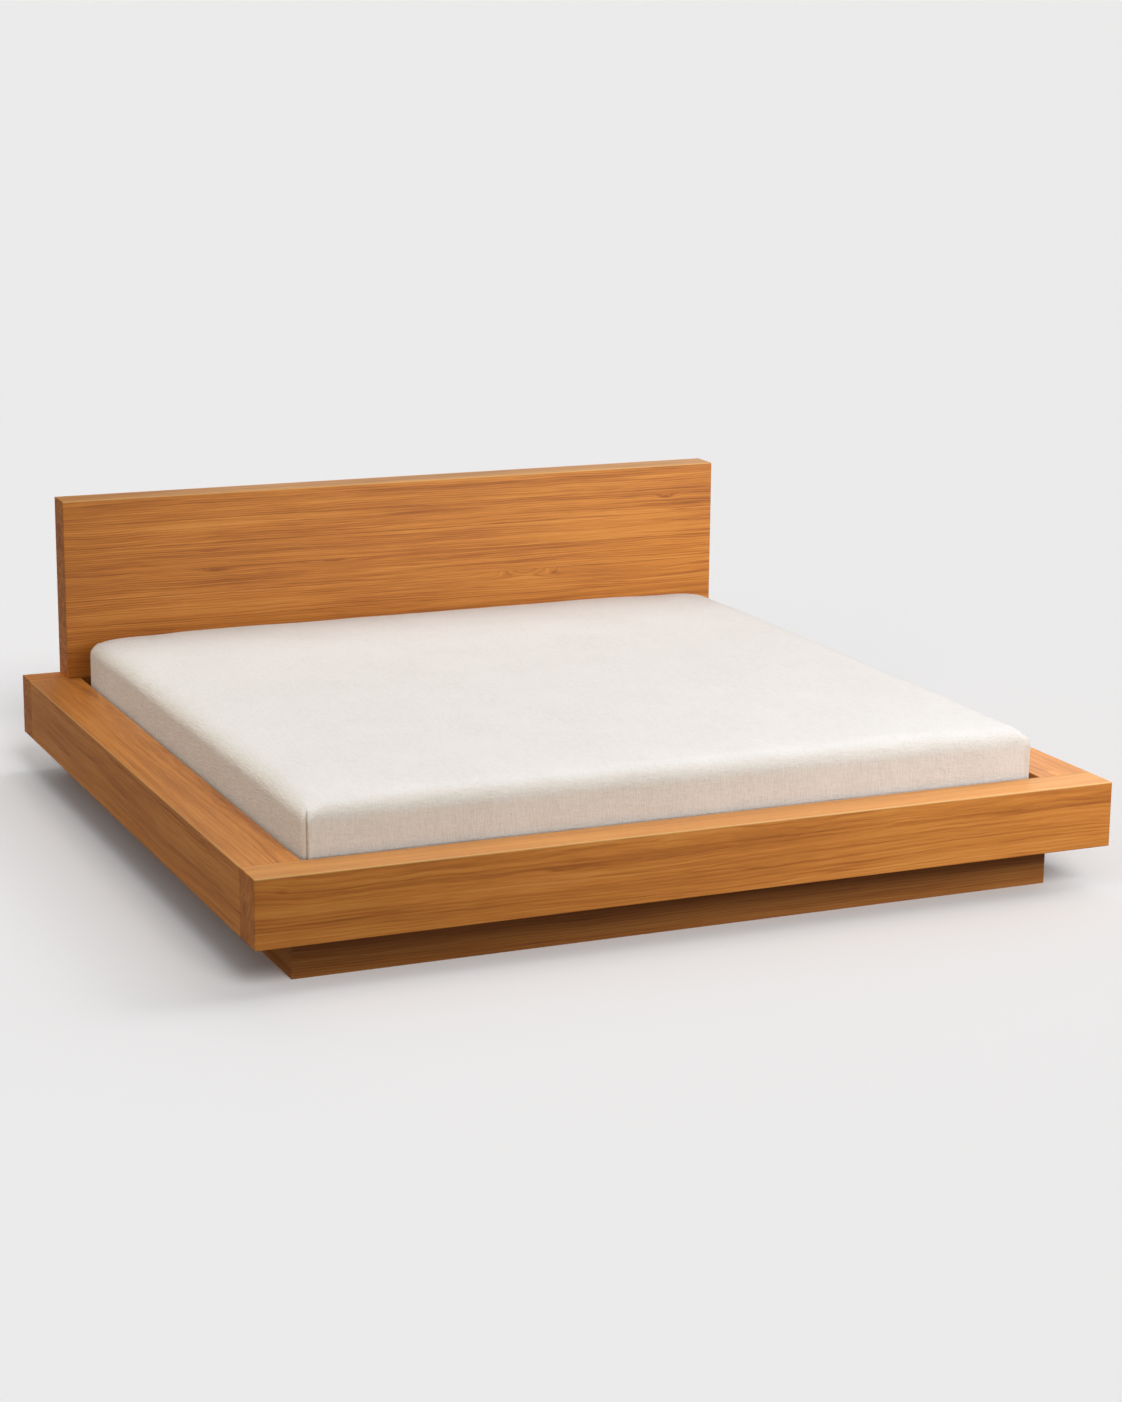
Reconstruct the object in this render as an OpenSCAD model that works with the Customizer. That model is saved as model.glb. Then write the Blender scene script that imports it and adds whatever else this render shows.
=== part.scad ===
// Low platform bed: thick solid-wood rails on a set-back plinth, a planked headboard
// standing on the back rail, a slatted base sunk between the rails, and a mattress.
// Millimetres. +Z is up, +Y runs from the foot to the head, +X to the right seen from the foot.
// The origin is on the floor under the middle of the bed.

/* [Mattress] */
// Width of the mattress
mattress_w = 1984; // [1384:4:1984]
// Length of the mattress
mattress_l = 1970; // [1870:5:2070]
// Thickness of the mattress at the edge of its top
mattress_t = 212; // [150:2:260]
// Height of the crown in the middle of the top
mattress_crown = 8; // [2:1:16]
// Radius of the upright corners of the mattress
mattress_corner_r = 48; // [46:1:80]
// Radius of the top and bottom edges of the mattress
mattress_edge_r = 40; // [20:1:44]
// Space between the mattress and each side rail
side_space = 18; // [8:1:30]
// Space between the mattress and the foot rail
foot_space = 12; // [6:1:30]
// Space between the mattress and the headboard
head_space = 38; // [10:1:60]

/* [Rails] */
// Height of the rails
rail_h = 172; // [160:1:200]
// Thickness of the foot rail
foot_rail_t = 110; // [90:1:140]
// Width of each side rail
side_rail_w = 150; // [130:1:180]
// Width of the inner of the two staves that make up a side rail
inner_stave_w = 70; // [60:1:76]
// Thickness of the tongues that join glued boards
tongue_t = 14; // [8:1:20]
// Height of the tongues that join glued boards
tongue_h = 8; // [4:1:12]
// Radius of the eased edges of the wood
ease_r = 2; // [1:0.5:4]

/* [Headboard] */
// Thickness of the headboard and of the back rail under it
headboard_t = 95; // [80:1:120]
// Height of each of the planks that make up the headboard
plank_h = 75; // [60:0.5:100]
// How far each end of the headboard stops short of the end of the back rail
headboard_step = 112; // [0:1:200]

/* [Plinth] */
// Height of the plinth
plinth_h = 118; // [90:1:160]
// Thickness of the plinth boards and of the head cleat
plinth_t = 27; // [22:1:32]
// Height of the glue blocks in the corners of the plinth
corner_block_h = 80; // [50:1:84]
// Width of the glue blocks in the corners of the plinth
corner_block_w = 45; // [30:1:60]
// Depth of the housings that hold the ends of the cross bearers
housing_depth = 8; // [4:1:12]

/* [Slatted base] */
// Depth of the top of the slats below the top of the rails
slat_drop = 80; // [70:1:86]
// Width of a slat
slat_w = 90; // [60:1:110]
// Thickness of a slat
slat_t = 20; // [16:1:24]
// Space between a slat's end and the side rail
slat_end_space = 3; // [1:0.5:6]
// Space between the end rails and the first and last slats
first_slat_space = 70; // [67:1:90]
// Width of the ledgers that carry the slats
ledger_w = 30; // [26:1:34]
// Height of the ledgers that carry the slats
ledger_h = 40; // [30:1:44]
// Width of the centre beam
beam_w = 60; // [40:1:90]
// Height of the seats for the two ends of the centre beam
seat_h = 40; // [30:1:46]
// Drop of the head cleat below the top of the plinth
cleat_drop = 48; // [40:1:60]
// Width of the webbing tapes under the slats
tape_w = 30; // [20:1:40]
// Thickness of the webbing tapes
tape_t = 1.2; // [0.8:0.1:2]
// Distance of each webbing tape from the middle of the bed
tape_x = 500; // [300:10:600]

/* [Fittings] */
// Length of each leg of the corner brackets
bracket_leg = 60; // [50:1:62]
// Height of the corner brackets
bracket_h = 60; // [50:1:64]
// Height of the corner brackets above the plinth
bracket_rise = 6; // [2:1:8]
// Thickness of the corner brackets
bracket_t = 5; // [4:0.5:6]
// Distance between the two bolts in a bracket leg
bracket_pitch = 32; // [26:1:34]
// Diameter of the bolts through the corner brackets
bolt_d = 8; // [6:1:8]
// Length of the bolts under the head
bolt_l = 24; // [20:1:26]
// Outer diameter of the threaded inserts
insert_d = 12; // [11:0.5:13]
// Length of the threaded inserts
insert_l = 22; // [21:1:24]
// Diameter of the wooden dowels
dowel_d = 16; // [12:1:18]
// Length of the wooden dowels
dowel_l = 96; // [60:2:100]
// Distance of the rail dowels below the top of the rails
dowel_drop = 52; // [40:1:60]
// Diameter of the bolts that hold the headboard
head_bolt_d = 10; // [8:1:12]
// Length of the bolts that hold the headboard, under the head
head_bolt_l = 150; // [130:1:180]
// Height of the barrel nuts above the bottom of the headboard
barrel_rise = 36; // [28:1:44]
// Diameter of the barrel nuts
barrel_d = 18; // [16:1:20]
// Length of the barrel nuts
barrel_l = 40; // [30:1:44]
// Length of the plugs that cover the barrel nuts
plug_l = 10; // [5:1:14]
// Distance of the outer headboard bolts from the ends of the headboard
head_bolt_inset = 150; // [110:5:200]
// Diameter of the wood screws
screw_d = 5; // [4:0.5:6]
// Length of the wood screws
screw_l = 50; // [44:1:52]
// Width of the mending plates between plinth and side rails
plate_w = 40; // [30:1:60]
// Thickness of the mending plates
plate_t = 3; // [2:0.5:4]
// Reach of the mending plates below the top of the plinth
plate_drop = 50; // [40:1:60]
// Length of the screws in the mending plates
plate_screw_l = 20; // [14:1:23]

/* [Fits] */
// Radial clearance of dowels, bolts and screws in their holes
pin_fit = 0.1; // [0.05:0.01:0.3]
// Clearance round the tongues and in the housings
wood_fit = 0.2; // [0.1:0.05:0.5]
// Space under the mattress
soft_fit = 0.3; // [0.2:0.1:1]

/* [Hidden] */

$fn = 48;
LEFT = -1;
RIGHT = 1;
FOOT = -1;
HEAD = 1;

// What a cut overlaps, how far a cut runs past a face, and how much deeper a bore is than its pin
eps = 0.01;
over = 1;
bore_room = 1;

// The recess between the rails, and the whole bed
recess_w = mattress_w + 2 * side_space;
recess_l = mattress_l + foot_space + head_space;
bed_w = recess_w + 2 * side_rail_w;
bed_l = recess_l + foot_rail_t + headboard_t;
inner_x = recess_w / 2;
foot_y = -bed_l / 2 + foot_rail_t;
head_y = bed_l / 2 - headboard_t;
rail_top = plinth_h + rail_h;

// The headboard and its planks
plank_n = 7;
headboard_rise = plank_n * plank_h;
headboard_w = bed_w - 2 * headboard_step;
headboard_mid_y = bed_l / 2 - headboard_t / 2;

// The plinth: its sides and back lie flush with the recess, its front laps the foot rail
plinth_x = inner_x + plinth_t;
plinth_y0 = foot_y;
plinth_y1 = head_y + plinth_t;
plinth_inner_y0 = foot_y + plinth_t;
space_past_bracket = 15;
corner_room = bracket_leg + space_past_bracket;
bearer_n = 2;
bearer_pitch = recess_l / (bearer_n + 1);

// The slatted base
slat_top = rail_top - slat_drop;
slat_z = slat_top - slat_t;
slat_n = 14;
slat_l = recess_w - 2 * slat_end_space;
slat_pitch = (recess_l - 2 * first_slat_space - slat_w) / (slat_n - 1);
ledger_past_bracket = 5;
ledger_end_space = bracket_leg + ledger_past_bracket;
ledger_l = recess_l - 2 * ledger_end_space;
beam_end_space = 1;
base_ease_r = 1;
slat_ease_r = 3;
corner_block_toe = 12;
tape_end_space = 10;

// The corner brackets and their bolts
bracket_z = plinth_h + bracket_rise;
bracket_hole_from_tip = 24;
bracket_hole_at = bracket_leg - bracket_hole_from_tip;
bracket_bend_r = 4;
bolt_head_d = bolt_d * 1.75;
bolt_head_h = bolt_d * 0.55;
bolt_hole_room = 1;
bolt_hole_d = bolt_d + bolt_hole_room;
insert_bore_l = insert_l + bore_room;

// The dowels in the ends of the side rails, one in each stave
outer_stave_w = side_rail_w - inner_stave_w;
dowel_chamfer = 2;
dowel_bore_l = dowel_l / 2 + bore_room;
stave_mids = [inner_x + inner_stave_w / 2, inner_x + inner_stave_w + outer_stave_w / 2];
rail_dowel_z = rail_top - dowel_drop;

// The headboard bolts: heads sunk in the back rail from below, tips in barrel nuts
head_bolt_n = 4;
head_bolt_pitch = (headboard_w - 2 * head_bolt_inset) / (head_bolt_n - 1);
barrel_z = rail_top + barrel_rise;
head_bolt_tip = 4;
head_bolt_past_nut = barrel_d / 2 + head_bolt_tip;
head_bolt_seat_z = barrel_z + head_bolt_past_nut - head_bolt_l;
washer_d = head_bolt_d * 2;
washer_t = 2;
counterbore_room = 1;
counterbore_d = washer_d + 2 * counterbore_room;
head_dowel_n = 6;
head_dowel_inset = 60;
head_dowel_pitch = (headboard_w - 2 * head_dowel_inset) / (head_dowel_n - 1);

// The mending plates and the wood screws
plate_below_ledger = 2;
plate_rise = slat_z - ledger_h - plinth_h - plate_below_ledger;
plate_n = 3;
plate_pitch = recess_l / plate_n;
plate_ease_r = 0.5;
plate_screw_d = 4;
screw_point_d = 1;
screw_row_end = 50;
seat_screw_n = 6;
seat_screw_pitch = (recess_w - 2 * corner_room - 2 * screw_row_end) / (seat_screw_n - 1);
ledger_screw_n = 8;
ledger_screw_pitch = (ledger_l - 2 * screw_row_end) / (ledger_screw_n - 1);

// Finishes
oiled_wood = "#b87a40";
shaded_wood = "#8d5a2e";
slat_wood = "#d9bd8c";
steel = "#9a9da0";
webbing = "#e6e0d2";
ticking = "#e9e4dc";

// Outline of a rectangle whose corners are eased in two short flats
ease_steps = 2;
function eased_corner(cx, cy, r, from) =
    [for (k = [0:ease_steps]) let (a = from + 90 * k / ease_steps) [cx + r * cos(a), cy + r * sin(a)]];
function eased_rect(w, h, r) = concat(
    eased_corner(r, r, r, 180),
    eased_corner(w - r, r, r, 270),
    eased_corner(w - r, h - r, r, 0),
    eased_corner(r, h - r, r, 90)
);

// Turns an outline drawn in Y and Z into a bar that runs along X
module bar_along_x(length) {
    rotate([90, 0, 90]) linear_extrude(length) children();
}

// Turns an outline drawn in X and Z into a bar that runs along Y
module bar_along_y(length) {
    translate([0, length, 0]) rotate([90, 0, 0]) linear_extrude(length) children();
}

// Block with every edge eased, standing on the origin's corner
module eased_block(size, r = ease_r) {
    intersection() {
        linear_extrude(size.z) polygon(eased_rect(size.x, size.y, r));
        bar_along_y(size.y) polygon(eased_rect(size.x, size.z, r));
        bar_along_x(size.x) polygon(eased_rect(size.y, size.z, r));
    }
}

// Bar along X with its four long edges eased
module eased_bar_x(size, r = ease_r) {
    bar_along_x(size.x) polygon(eased_rect(size.y, size.z, r));
}

// Bar along Y with its four long edges eased
module eased_bar_y(size, r = ease_r) {
    bar_along_y(size.y) polygon(eased_rect(size.x, size.z, r));
}

// Pin or bore whose axis runs along +X, +Y or +Z from the origin
module rod_x(d, l) rotate([0, 90, 0]) cylinder(d = d, h = l);
module rod_y(d, l) rotate([-90, 0, 0]) cylinder(d = d, h = l);
module rod_z(d, l) cylinder(d = d, h = l);

// Places a child at a corner of the recess: +X and +Y of the child point into the recess
module at_corner(side, end) {
    translate([side * inner_x, end == FOOT ? foot_y : head_y, 0])
        mirror([side == RIGHT ? 1 : 0, 0, 0])
            mirror([0, end == HEAD ? 1 : 0, 0])
                children();
}

module at_every_corner() {
    for (side = [LEFT, RIGHT]) {
        for (end = [FOOT, HEAD]) {
            at_corner(side, end) children();
        }
    }
}

// Places a child at each hole of a corner bracket, its +Z pointing into the wood
module at_bracket_holes() {
    z_mid = bracket_z + bracket_h / 2;
    for (z = [z_mid - bracket_pitch / 2, z_mid + bracket_pitch / 2]) {
        translate([0, bracket_hole_at, z]) rotate([0, -90, 0]) children();
        translate([bracket_hole_at, 0, z]) rotate([90, 0, 0]) children();
    }
}

// Dowel with its ends chamfered, standing on the origin along Z
module dowel(d, l) {
    tip_d = d - 2 * dowel_chamfer;
    cylinder(d1 = tip_d, d2 = d, h = dowel_chamfer);
    translate([0, 0, dowel_chamfer]) rod_z(d, l - 2 * dowel_chamfer);
    translate([0, 0, l - dowel_chamfer]) cylinder(d1 = d, d2 = tip_d, h = dowel_chamfer);
}

// Countersunk wood screw driven along +Z, the top of its head at the origin
module wood_screw(d, l) {
    head_d = d * 2;
    head_h = d * 0.6;
    point_h = d;
    socket_d = d * 0.8;
    difference() {
        union() {
            cylinder(d1 = head_d, d2 = d, h = head_h);
            rod_z(d, l - point_h);
            translate([0, 0, l - point_h]) cylinder(d1 = d, d2 = screw_point_d, h = point_h);
        }
        translate([0, 0, -eps]) cylinder(d = socket_d, h = head_h / 2, $fn = 6);
    }
}

// Room for a wood screw, wider than the screw by the pin fit
module wood_screw_hole(d, l) {
    head_d = d * 2;
    head_h = d * 0.6;
    cylinder(d1 = head_d + 2 * pin_fit, d2 = d + 2 * pin_fit, h = head_h);
    rod_z(d + 2 * pin_fit, l + bore_room);
}

// Places a child at each screw of the ledgers, its +Z pointing into the side rail
module at_ledger_screws(side) {
    z = slat_z - ledger_h / 2;
    for (i = [0:ledger_screw_n - 1]) {
        y = foot_y + ledger_end_space + screw_row_end + i * ledger_screw_pitch;
        translate([side * (inner_x - ledger_w), y, z]) rotate([0, side * 90, 0]) children();
    }
}

// Places a child at each screw through the plinth's lap into the foot rail
module at_lap_screws() {
    z = plinth_h + seat_h / 2;
    for (i = [0:seat_screw_n - 1]) {
        x = (i - (seat_screw_n - 1) / 2) * seat_screw_pitch;
        translate([x, plinth_inner_y0, z]) rotate([90, 0, 0]) children();
    }
}

// Places a child at each screw through the head cleat, above and below the plinth's top
module at_cleat_screws() {
    for (i = [0:seat_screw_n - 1]) {
        x = (i - (seat_screw_n - 1) / 2) * seat_screw_pitch;
        for (z = [plinth_h - cleat_drop / 2, plinth_h + seat_h / 2]) {
            translate([x, head_y - plinth_t, z]) rotate([-90, 0, 0]) children();
        }
    }
}

// Places a child at each mending plate, the plate's face on the recess wall
module at_plates(side) {
    for (i = [0:plate_n - 1]) {
        y = foot_y + (i + 0.5) * plate_pitch;
        translate([side * inner_x, y, plinth_h]) children();
    }
}

// Places a child at each screw of the mending plates, its +Z pointing into the wood
module at_plate_screws(side) {
    at_plates(side) {
        for (z = [plate_rise / 2, -plate_drop / 2]) {
            for (y = [-plate_w / 4, plate_w / 4]) {
                translate([-side * plate_t, y, z]) rotate([0, side * 90, 0]) children();
            }
        }
    }
}

// Places a child at the axis of each headboard bolt
module at_head_bolts() {
    for (i = [0:head_bolt_n - 1]) {
        x = (i - (head_bolt_n - 1) / 2) * head_bolt_pitch;
        translate([x, headboard_mid_y, 0]) children();
    }
}

// Places a child at the middle of each headboard dowel
module at_head_dowels() {
    for (i = [0:head_dowel_n - 1]) {
        x = (i - (head_dowel_n - 1) / 2) * head_dowel_pitch;
        translate([x, headboard_mid_y, rail_top]) children();
    }
}

// Bores for the dowels between the side rails and the end rails
module rail_dowel_bores(end) {
    y = end == FOOT ? foot_y : head_y;
    for (side = [LEFT, RIGHT]) {
        for (x = stave_mids) {
            translate([side * x, y - dowel_bore_l, rail_dowel_z])
                rod_y(dowel_d + 2 * pin_fit, 2 * dowel_bore_l);
        }
    }
}

// Bores for the threaded inserts behind the corner brackets of one end
module insert_bores(end) {
    for (side = [LEFT, RIGHT]) {
        at_corner(side, end) at_bracket_holes() {
            translate([0, 0, -eps]) rod_z(insert_d + 2 * pin_fit, insert_bore_l);
        }
    }
}

// Bores for the headboard bolts, their sunk heads and their barrel nuts
module head_bolt_bores() {
    bore_d = head_bolt_d + 2 * pin_fit;
    at_head_bolts() {
        translate([0, 0, plinth_h - eps]) rod_z(counterbore_d, head_bolt_seat_z - plinth_h + eps);
        translate([0, 0, plinth_h]) rod_z(bore_d, barrel_z + head_bolt_past_nut + bore_room - plinth_h);
        translate([0, -barrel_l / 2, barrel_z])
            rod_y(barrel_d + 2 * pin_fit, barrel_l / 2 + headboard_t / 2 + eps);
    }
}

// Bores for the dowels between the back rail and the headboard
module head_dowel_bores() {
    at_head_dowels() {
        translate([0, 0, -dowel_bore_l]) rod_z(dowel_d + 2 * pin_fit, 2 * dowel_bore_l);
    }
}

module foot_rail() {
    color(oiled_wood) difference() {
        translate([-bed_w / 2, -bed_l / 2, plinth_h]) eased_block([bed_w, foot_rail_t, rail_h]);
        rail_dowel_bores(FOOT);
        insert_bores(FOOT);
        at_lap_screws() wood_screw_hole(screw_d, screw_l);
    }
}

module back_rail() {
    color(oiled_wood) difference() {
        translate([-bed_w / 2, head_y, plinth_h]) eased_block([bed_w, headboard_t, rail_h]);
        rail_dowel_bores(HEAD);
        insert_bores(HEAD);
        head_bolt_bores();
        head_dowel_bores();
        at_cleat_screws() wood_screw_hole(screw_d, screw_l);
    }
}

// One side rail before it is parted into its staves
module whole_side_rail(side) {
    x0 = side == LEFT ? -bed_w / 2 : inner_x;
    translate([x0, foot_y, plinth_h]) eased_block([side_rail_w, recess_l, rail_h]);
}

// Outline of the inner stave, with the tongue that enters the outer one; X runs outwards
module inner_stave_outline(fit) {
    z_mid = rail_h / 2;
    polygon([
        [-eps, -eps], [inner_stave_w, -eps],
        [inner_stave_w, z_mid - tongue_t / 2 - fit],
        [inner_stave_w + tongue_h + fit, z_mid - tongue_t / 2 - fit],
        [inner_stave_w + tongue_h + fit, z_mid + tongue_t / 2 + fit],
        [inner_stave_w, z_mid + tongue_t / 2 + fit],
        [inner_stave_w, rail_h + eps], [-eps, rail_h + eps]
    ]);
}

module inner_stave_space(side, fit) {
    translate([side * inner_x, foot_y - over, plinth_h])
        mirror([side == LEFT ? 1 : 0, 0, 0])
            bar_along_y(recess_l + 2 * over) inner_stave_outline(fit);
}

module side_rail_outer(side) {
    color(oiled_wood) difference() {
        whole_side_rail(side);
        inner_stave_space(side, wood_fit);
        rail_dowel_bores(FOOT);
        rail_dowel_bores(HEAD);
    }
}

module side_rail_inner(side) {
    color(oiled_wood) difference() {
        intersection() {
            whole_side_rail(side);
            inner_stave_space(side, 0);
        }
        rail_dowel_bores(FOOT);
        rail_dowel_bores(HEAD);
        insert_bores(FOOT);
        insert_bores(HEAD);
        at_ledger_screws(side) wood_screw_hole(screw_d, screw_l);
        at_plate_screws(side) wood_screw_hole(plate_screw_d, plate_screw_l);
    }
}

// Outline of a headboard plank in Y and Z, tongued on top and grooved below
module plank_outline(i) {
    y_mid = headboard_t / 2;
    difference() {
        union() {
            translate([0, i * plank_h]) square([headboard_t, plank_h]);
            if (i < plank_n - 1) {
                translate([y_mid - tongue_t / 2, (i + 1) * plank_h - eps])
                    square([tongue_t, tongue_h + eps]);
            }
        }
        if (i > 0) {
            translate([y_mid - tongue_t / 2 - wood_fit, i * plank_h - eps])
                square([tongue_t + 2 * wood_fit, tongue_h + wood_fit + eps]);
        }
    }
}

module headboard_plank(i) {
    color(oiled_wood) difference() {
        translate([-headboard_w / 2, head_y, rail_top]) intersection() {
            eased_block([headboard_w, headboard_t, headboard_rise]);
            bar_along_x(headboard_w) plank_outline(i);
        }
        if (i == 0) {
            head_bolt_bores();
            head_dowel_bores();
        }
    }
}

// The plinth's four boards before they are mitred apart
module plinth_ring() {
    difference() {
        translate([-plinth_x, plinth_y0, 0])
            eased_block([2 * plinth_x, plinth_y1 - plinth_y0, plinth_h], base_ease_r);
        translate([-inner_x, plinth_inner_y0, -over])
            cube([2 * inner_x, head_y - plinth_inner_y0, plinth_h + 2 * over]);
    }
}

// Plan of one mitred board: its two outer corners, then the two inner ones
module mitred_board(outer_a, outer_b, inner_b, inner_a) {
    intersection() {
        plinth_ring();
        translate([0, 0, -over]) linear_extrude(plinth_h + 2 * over)
            polygon([outer_a, outer_b, inner_b, inner_a]);
    }
}

module plinth_front() {
    lap_w = 2 * (inner_x - corner_room);
    color(shaded_wood) difference() {
        union() {
            mitred_board([-plinth_x, plinth_y0], [plinth_x, plinth_y0],
                         [inner_x, plinth_inner_y0], [-inner_x, plinth_inner_y0]);
            translate([-lap_w / 2, plinth_y0, plinth_h - plinth_t])
                cube([lap_w, plinth_t, seat_h + plinth_t]);
        }
        at_lap_screws() wood_screw_hole(screw_d, screw_l);
    }
}

module plinth_back() {
    color(shaded_wood) difference() {
        mitred_board([plinth_x, plinth_y1], [-plinth_x, plinth_y1],
                     [-inner_x, head_y], [inner_x, head_y]);
        at_cleat_screws() wood_screw_hole(screw_d, screw_l);
    }
}

module plinth_side(side) {
    color(shaded_wood) difference() {
        mitred_board([side * plinth_x, plinth_y1], [side * plinth_x, plinth_y0],
                     [side * inner_x, plinth_inner_y0], [side * inner_x, head_y]);
        for (i = [1:bearer_n]) {
            y0 = foot_y + i * bearer_pitch - plinth_t / 2 - wood_fit;
            translate([-inner_x - housing_depth, y0, -over])
                cube([2 * (inner_x + housing_depth), plinth_t + 2 * wood_fit, plinth_h + 2 * over]);
        }
        at_plate_screws(side) wood_screw_hole(plate_screw_d, plate_screw_l);
    }
}

module glue_block(side, end) {
    z0 = (plinth_h - corner_block_h) / 2;
    y0 = end == FOOT ? plinth_t : 0;
    color(slat_wood) at_corner(side, end) {
        translate([0, y0, z0]) linear_extrude(corner_block_h)
            polygon([
                [0, 0], [corner_block_w, 0], [corner_block_w, corner_block_toe],
                [corner_block_toe, corner_block_w], [0, corner_block_w]
            ]);
    }
}

module cross_bearer(i) {
    length = 2 * (inner_x + housing_depth - wood_fit);
    color(slat_wood) translate([-length / 2, foot_y + i * bearer_pitch - plinth_t / 2, 0])
        eased_bar_x([length, plinth_t, plinth_h], base_ease_r);
}

module centre_beam() {
    beam_h = slat_z - plinth_h;
    color(slat_wood) difference() {
        translate([-beam_w / 2, foot_y + beam_end_space, plinth_h])
            eased_bar_y([beam_w, recess_l - 2 * beam_end_space, beam_h], base_ease_r);
        translate([-beam_w, foot_y, plinth_h - over])
            cube([2 * beam_w, plinth_t + beam_end_space, seat_h + over]);
        translate([-beam_w, head_y - plinth_t - beam_end_space, plinth_h - over])
            cube([2 * beam_w, plinth_t + beam_end_space, seat_h + over]);
    }
}

module head_cleat() {
    length = 2 * (inner_x - corner_room);
    color(slat_wood) difference() {
        translate([-length / 2, head_y - plinth_t, plinth_h - cleat_drop])
            cube([length, plinth_t, cleat_drop + seat_h]);
        at_cleat_screws() wood_screw_hole(screw_d, screw_l);
    }
}

module slat_ledger(side) {
    x0 = side == LEFT ? -inner_x : inner_x - ledger_w;
    color(slat_wood) difference() {
        translate([x0, foot_y + ledger_end_space, slat_z - ledger_h])
            eased_bar_y([ledger_w, ledger_l, ledger_h], base_ease_r);
        at_ledger_screws(side) wood_screw_hole(screw_d, screw_l);
    }
}

module slat(i) {
    y0 = foot_y + first_slat_space + (i - 1) * slat_pitch;
    color(slat_wood) translate([-slat_l / 2, y0, slat_z])
        eased_bar_x([slat_l, slat_w, slat_t], slat_ease_r);
}

module slat_tape(side) {
    end_space = first_slat_space + tape_end_space;
    color(webbing) translate([side * tape_x - tape_w / 2, foot_y + end_space, slat_z - tape_t])
        cube([tape_w, recess_l - 2 * end_space, tape_t]);
}

// Bent steel angle that pulls a side rail up against an end rail
module corner_bracket(side, end) {
    outer_r = bracket_bend_r + bracket_t;
    color(steel) at_corner(side, end) difference() {
        translate([0, 0, bracket_z]) linear_extrude(bracket_h) difference() {
            union() {
                translate([outer_r, 0]) square([bracket_leg - outer_r, bracket_t]);
                translate([0, outer_r]) square([bracket_t, bracket_leg - outer_r]);
                intersection() {
                    translate([outer_r, outer_r]) circle(outer_r);
                    square([outer_r, outer_r]);
                }
            }
            translate([outer_r, outer_r]) circle(bracket_bend_r);
        }
        at_bracket_holes() translate([0, 0, -bracket_t - over]) rod_z(bolt_hole_d, bracket_t + 2 * over);
    }
}

// Button-head bolts, their shanks in the threaded inserts
module bracket_bolts() {
    color(steel) at_every_corner() at_bracket_holes() translate([0, 0, -bracket_t]) {
        difference() {
            union() {
                translate([0, 0, -bolt_head_h])
                    cylinder(d1 = bolt_head_d * 0.6, d2 = bolt_head_d, h = bolt_head_h);
                rod_z(bolt_d, bolt_l);
            }
            translate([0, 0, -bolt_head_h - eps]) cylinder(d = bolt_d * 0.6, h = bolt_head_h * 0.7, $fn = 6);
        }
    }
}

module threaded_inserts() {
    color("#b5973f") at_every_corner() at_bracket_holes() difference() {
        rod_z(insert_d, insert_l);
        translate([0, 0, -over]) rod_z(bolt_d + 2 * pin_fit, insert_l + 2 * over);
    }
}

module rail_dowels() {
    color(slat_wood) for (side = [LEFT, RIGHT], x = stave_mids, y = [foot_y, head_y]) {
        translate([side * x, y - dowel_l / 2, rail_dowel_z]) rotate([-90, 0, 0]) dowel(dowel_d, dowel_l);
    }
}

// Socket-head bolts that stand upright in the back rail
module headboard_bolts() {
    head_d = head_bolt_d * 1.6;
    color(steel) at_head_bolts() difference() {
        union() {
            translate([0, 0, head_bolt_seat_z]) rod_z(head_bolt_d, head_bolt_l);
            translate([0, 0, head_bolt_seat_z - washer_t - head_bolt_d]) rod_z(head_d, head_bolt_d);
            translate([0, 0, head_bolt_seat_z - washer_t - eps]) rod_z(head_bolt_d, washer_t + 2 * eps);
        }
        translate([0, 0, head_bolt_seat_z - washer_t - head_bolt_d - eps])
            cylinder(d = head_bolt_d * 0.9, h = head_bolt_d / 2, $fn = 6);
    }
}

module headboard_washers() {
    color(steel) at_head_bolts() translate([0, 0, head_bolt_seat_z - washer_t]) difference() {
        rod_z(washer_d, washer_t);
        translate([0, 0, -over]) rod_z(head_bolt_d + 2 * pin_fit, washer_t + 2 * over);
    }
}

module barrel_nuts() {
    color(steel) at_head_bolts() difference() {
        translate([0, -barrel_l / 2, barrel_z]) rod_y(barrel_d, barrel_l);
        translate([0, 0, barrel_z - barrel_d]) rod_z(head_bolt_d + 2 * pin_fit, 2 * barrel_d);
    }
}

// Wooden plugs flush with the back of the headboard
module barrel_nut_plugs() {
    color(oiled_wood) at_head_bolts()
        translate([0, headboard_t / 2 - plug_l, barrel_z]) rod_y(barrel_d, plug_l);
}

module headboard_dowels() {
    color(slat_wood) at_head_dowels() translate([0, 0, -dowel_l / 2]) dowel(dowel_d, dowel_l);
}

// Flat steel plates across the joint between the plinth and the side rails
module mending_plates() {
    color(steel) for (side = [LEFT, RIGHT]) {
        difference() {
            at_plates(side) {
                translate([side == LEFT ? 0 : -plate_t, -plate_w / 2, -plate_drop])
                    eased_block([plate_t, plate_w, plate_drop + plate_rise], plate_ease_r);
            }
            at_plate_screws(side) wood_screw_hole(plate_screw_d, plate_screw_l);
        }
    }
}

module plate_screws() {
    color(steel) {
        at_plate_screws(LEFT) wood_screw(plate_screw_d, plate_screw_l);
        at_plate_screws(RIGHT) wood_screw(plate_screw_d, plate_screw_l);
    }
}

module wood_screws() {
    color(steel) {
        at_ledger_screws(LEFT) wood_screw(screw_d, screw_l);
        at_ledger_screws(RIGHT) wood_screw(screw_d, screw_l);
        at_lap_screws() wood_screw(screw_d, screw_l);
        at_cleat_screws() wood_screw(screw_d, screw_l);
    }
}

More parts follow.
